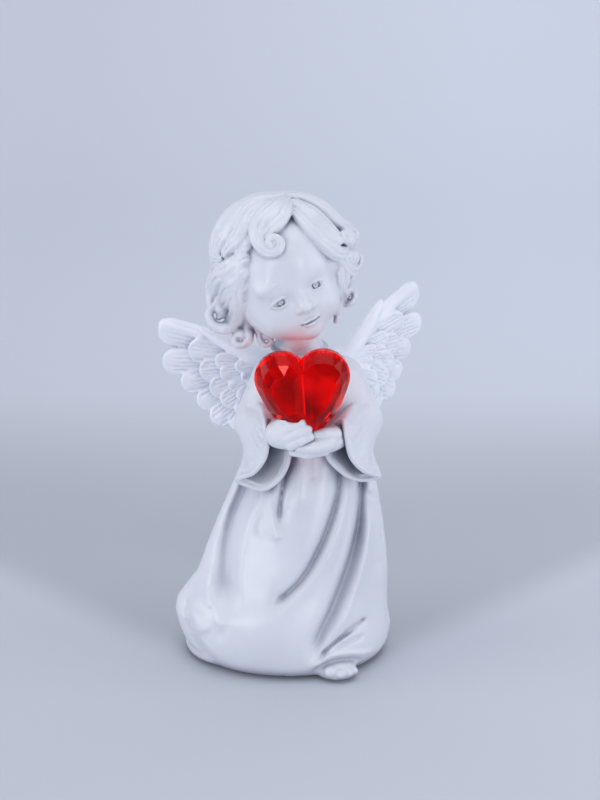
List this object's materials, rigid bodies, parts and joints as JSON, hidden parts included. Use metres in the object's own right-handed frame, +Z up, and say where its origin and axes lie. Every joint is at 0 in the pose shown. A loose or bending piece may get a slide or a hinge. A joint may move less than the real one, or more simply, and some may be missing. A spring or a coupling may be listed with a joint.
{
  "type": "angel figurine",
  "caption": "Standing cherub in a long gown with spread feathered wings and curled hair, who holds a faceted red heart in both hands at the chest.",
  "frame": {"origin": "on the underside of the pad that the figurine stands on, at the middle of the base", "axes": "+Z up, -Y the way the figurine faces, +X the figurine's left side"},
  "size_m": [0.0821, 0.0696, 0.1466],
  "materials": {
    "resin": "matte, smooth cast polyresin painted white, with a few pin-head air bubbles",
    "acrylic": "clear saturated red, faceted and polished",
    "pin": "bright drawn wire",
    "dowel": "plain turned wood",
    "pad": "matte black foam rubber"
  },
  "bodies": {
    "root": {"gown_body": "resin", "head": "resin", "right_wing": "resin", "left_wing": "resin", "right_hand": "resin", "left_hand": "resin", "heart": "acrylic", "heart_pin": "pin", "neck_dowel": "dowel", "base_pad": "pad"}
  },
  "joints": []
}
